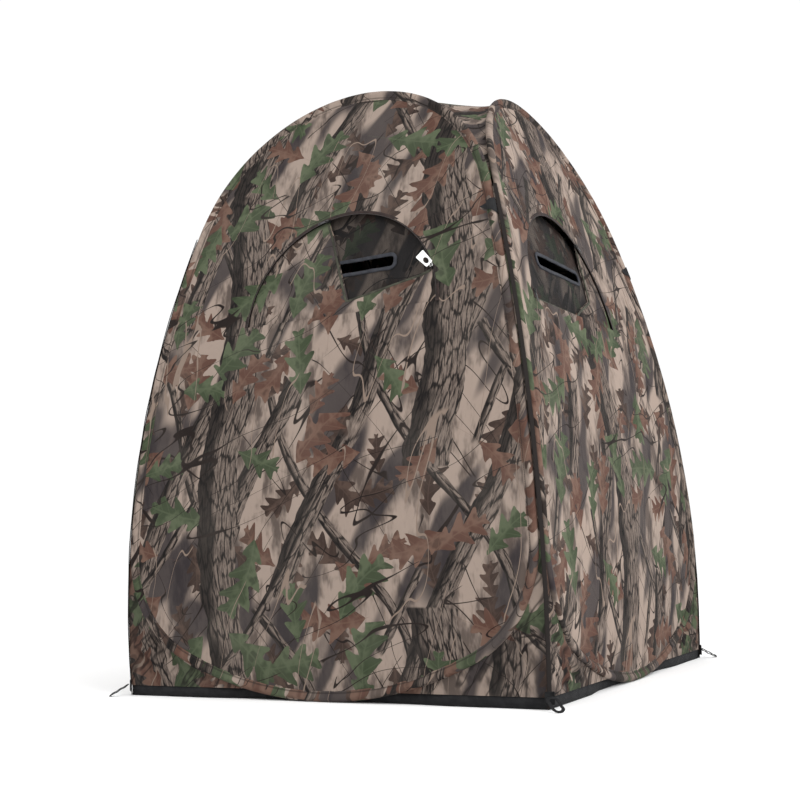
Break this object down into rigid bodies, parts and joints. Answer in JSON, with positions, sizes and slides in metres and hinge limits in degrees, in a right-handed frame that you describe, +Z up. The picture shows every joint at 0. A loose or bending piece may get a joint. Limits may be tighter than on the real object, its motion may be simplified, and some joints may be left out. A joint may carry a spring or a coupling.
{
  "type": "pop-up field blind",
  "caption": "Pop-up one-person field blind: leaning camouflage walls on spring hoops, zipped lens windows with mesh screens, a lifting back door and peg loops.",
  "frame": {"origin": "middle of the footprint, on the ground", "axes": "+Z up; -Y is the front wall with the part-open window, +X the wall with the open window, +Y the wall with the door"},
  "size_m": [1.3048, 1.3048, 1.6304],
  "materials": {
    "camo": "woodland print on thin polyester cloth",
    "sleeve": "woodland print on thin polyester cloth",
    "mesh": "dark printed mesh",
    "hem": "dark grey bound edge",
    "webbing": "black woven webbing",
    "rod": "spring steel wire",
    "ferrule": "crimped steel tube",
    "zip": "dark coil zip on woven tape",
    "slider": "black painted die casting",
    "pull": "black moulded plastic",
    "tag": "white moulded plastic"
  },
  "bodies": {
    "root": {"front_hoop": "rod", "front_sleeve": "sleeve", "front_gussets": "camo", "front_panel": "camo", "right_hoop": "rod", "right_sleeve": "sleeve", "right_gussets": "camo", "right_panel": "camo", "back_hoop": "rod", "back_sleeve": "sleeve", "back_gussets": "camo", "back_panel": "camo", "left_hoop": "rod", "left_sleeve": "sleeve", "left_gussets": "camo", "left_panel": "camo", "hoop_ferrules": "ferrule", "ground_skirt": "webbing", "corner_seams": "camo", "roof": "camo", "back_door_zip": "zip", "front_window_zip": "zip", "front_window_screen": "mesh", "front_slot_hem": "hem", "right_window_zip": "zip", "right_window_screen": "mesh", "right_slot_hem": "hem", "left_window_zip": "zip", "left_window_screen": "mesh", "left_slot_hem": "hem"},
    "front_slider_a": {"front_slider_a": "slider"},
    "front_pull_a": {"front_pull_a": "pull"},
    "front_slider_b": {"front_slider_b": "slider"},
    "front_pull_b": {"front_pull_b": "tag"},
    "right_slider_a": {"right_slider_a": "slider"},
    "right_pull_a": {"right_pull_a": "pull"},
    "right_slider_b": {"right_slider_b": "slider"},
    "right_pull_b": {"right_pull_b": "pull"},
    "left_slider_a": {"left_slider_a": "slider"},
    "left_pull_a": {"left_pull_a": "pull"},
    "left_slider_b": {"left_slider_b": "slider"},
    "left_pull_b": {"left_pull_b": "pull"},
    "front_window_flap": {"front_window_flap": "camo"},
    "front_flap_tongue": {"front_flap_tongue": "camo"},
    "right_window_flap": {"right_window_flap": "camo"},
    "right_flap_tongue": {"right_flap_tongue": "camo"},
    "left_window_flap": {"left_window_flap": "camo"},
    "back_door": {"back_door": "camo"},
    "back_slider_a": {"back_slider_a": "slider"},
    "back_pull_a": {"back_pull_a": "pull"},
    "back_slider_b": {"back_slider_b": "slider"},
    "back_pull_b": {"back_pull_b": "pull"},
    "front_left_peg_loop": {"front_left_peg_loop": "webbing"},
    "front_right_peg_loop": {"front_right_peg_loop": "webbing"},
    "back_right_peg_loop": {"back_right_peg_loop": "webbing"},
    "back_left_peg_loop": {"back_left_peg_loop": "webbing"}
  },
  "joints": [
    {"name": "front_slider_a_run", "type": "hinge", "parent": "root", "child": "front_slider_a", "pos_m": [0.04, -0.53784, 0.97268], "axis": [0, 0.9736, -0.2282], "range_deg": [-74, 42.3]},
    {"name": "front_pull_a_swing", "type": "hinge", "parent": "front_slider_a", "child": "front_pull_a", "pos_m": [-0.01926, -0.47831, 1.24506], "axis": [-0.2079, 0.2232, 0.9523], "range_deg": [0, 160]},
    {"name": "front_slider_b_run", "type": "hinge", "parent": "root", "child": "front_slider_b", "pos_m": [0.04, -0.53784, 0.97268], "axis": [0, -0.9736, 0.2282], "range_deg": [-15.5, 36.8]},
    {"name": "front_pull_b_swing", "type": "hinge", "parent": "front_slider_b", "child": "front_pull_b", "pos_m": [0.30865, -0.52022, 1.06626], "axis": [0.9426, 0.0762, 0.325], "range_deg": [0, 160]},
    {"name": "right_slider_a_run", "type": "hinge", "parent": "root", "child": "right_slider_a", "pos_m": [0.53784, -0.12, 0.97268], "axis": [-0.9736, 0, -0.2282], "range_deg": [0, 84.3]},
    {"name": "right_pull_a_swing", "type": "hinge", "parent": "right_slider_a", "child": "right_pull_a", "pos_m": [0.53739, -0.40431, 0.99299], "axis": [-0.0159, -0.9976, 0.0679], "range_deg": [0, 160]},
    {"name": "right_slider_b_run", "type": "hinge", "parent": "root", "child": "right_slider_b", "pos_m": [0.53784, -0.12, 0.97268], "axis": [0.9736, 0, 0.2282], "range_deg": [-52, 32.3]},
    {"name": "right_pull_b_swing", "type": "hinge", "parent": "right_slider_b", "child": "right_pull_b", "pos_m": [0.48801, 0.03937, 1.20368], "axis": [-0.1892, 0.5592, 0.8072], "range_deg": [-160, 0]},
    {"name": "left_slider_a_run", "type": "hinge", "parent": "root", "child": "left_slider_a", "pos_m": [-0.53784, 0, 0.97268], "axis": [0.9736, 0, -0.2282], "range_deg": [-84.3, 0]},
    {"name": "left_pull_a_swing", "type": "hinge", "parent": "left_slider_a", "child": "left_pull_a", "pos_m": [-0.47692, 0.00846, 1.251], "axis": [0.2281, 0.0297, 0.9732], "range_deg": [0, 160]},
    {"name": "left_slider_b_run", "type": "hinge", "parent": "root", "child": "left_slider_b", "pos_m": [-0.53784, 0, 0.97268], "axis": [-0.9736, 0, 0.2282], "range_deg": [-84.3, 0]},
    {"name": "left_pull_b_swing", "type": "hinge", "parent": "left_slider_b", "child": "left_pull_b", "pos_m": [-0.47692, -0.00846, 1.251], "axis": [0.2281, -0.0297, 0.9732], "range_deg": [-160, 0]},
    {"name": "front_window_flap_drop", "type": "hinge", "parent": "root", "child": "front_window_flap", "pos_m": [0, 3.29, 0.22], "axis": [1, 0, 0], "range_deg": [0, 4.04]},
    {"name": "front_flap_tongue_drop", "type": "hinge", "parent": "root", "child": "front_flap_tongue", "pos_m": [0, 3.29, 0.22], "axis": [-1, 0, 0], "range_deg": [0, 3.67]},
    {"name": "right_window_flap_drop", "type": "hinge", "parent": "root", "child": "right_window_flap", "pos_m": [-3.29, 0, 0.22], "axis": [0, 1, 0], "range_deg": [0, 4.04]},
    {"name": "right_flap_tongue_drop", "type": "hinge", "parent": "root", "child": "right_flap_tongue", "pos_m": [-3.29, 0, 0.22], "axis": [0, -1, 0], "range_deg": [0, 4.04]},
    {"name": "left_window_flap_drop", "type": "hinge", "parent": "root", "child": "left_window_flap", "pos_m": [3.29, 0, 0.22], "axis": [0, -1, 0], "range_deg": [0, 4.04]},
    {"name": "back_door_lift", "type": "hinge", "parent": "root", "child": "back_door", "pos_m": [0, 0.49895, 1.15036], "axis": [1, 0, 0], "range_deg": [0, 120]},
    {"name": "back_slider_a_run", "type": "hinge", "parent": "root", "child": "back_slider_a", "pos_m": [0, -3.29, 0.22], "axis": [1, 0, 0], "range_deg": [0, 14.01]},
    {"name": "back_pull_a_swing", "type": "hinge", "parent": "back_slider_a", "child": "back_pull_a", "pos_m": [-0.315, 0.61399, 0.17996], "axis": [1, 0, 0], "range_deg": [0, 160]},
    {"name": "back_slider_b_run", "type": "hinge", "parent": "root", "child": "back_slider_b", "pos_m": [0, -3.29, 0.22], "axis": [1, 0, 0], "range_deg": [0, 14.01]},
    {"name": "back_pull_b_swing", "type": "hinge", "parent": "back_slider_b", "child": "back_pull_b", "pos_m": [0.315, 0.61399, 0.17996], "axis": [1, 0, 0], "range_deg": [0, 160]},
    {"name": "front_left_peg_loop_lift", "type": "hinge", "parent": "root", "child": "front_left_peg_loop", "pos_m": [-0.60961, -0.60961, 0.03], "axis": [-0.7071, 0.7071, 0], "range_deg": [0, 105]},
    {"name": "front_right_peg_loop_lift", "type": "hinge", "parent": "root", "child": "front_right_peg_loop", "pos_m": [0.60961, -0.60961, 0.03], "axis": [-0.7071, -0.7071, 0], "range_deg": [0, 105]},
    {"name": "back_right_peg_loop_lift", "type": "hinge", "parent": "root", "child": "back_right_peg_loop", "pos_m": [0.60961, 0.60961, 0.03], "axis": [0.7071, -0.7071, 0], "range_deg": [0, 105]},
    {"name": "back_left_peg_loop_lift", "type": "hinge", "parent": "root", "child": "back_left_peg_loop", "pos_m": [-0.60961, 0.60961, 0.03], "axis": [0.7071, 0.7071, 0], "range_deg": [0, 105]}
  ]
}
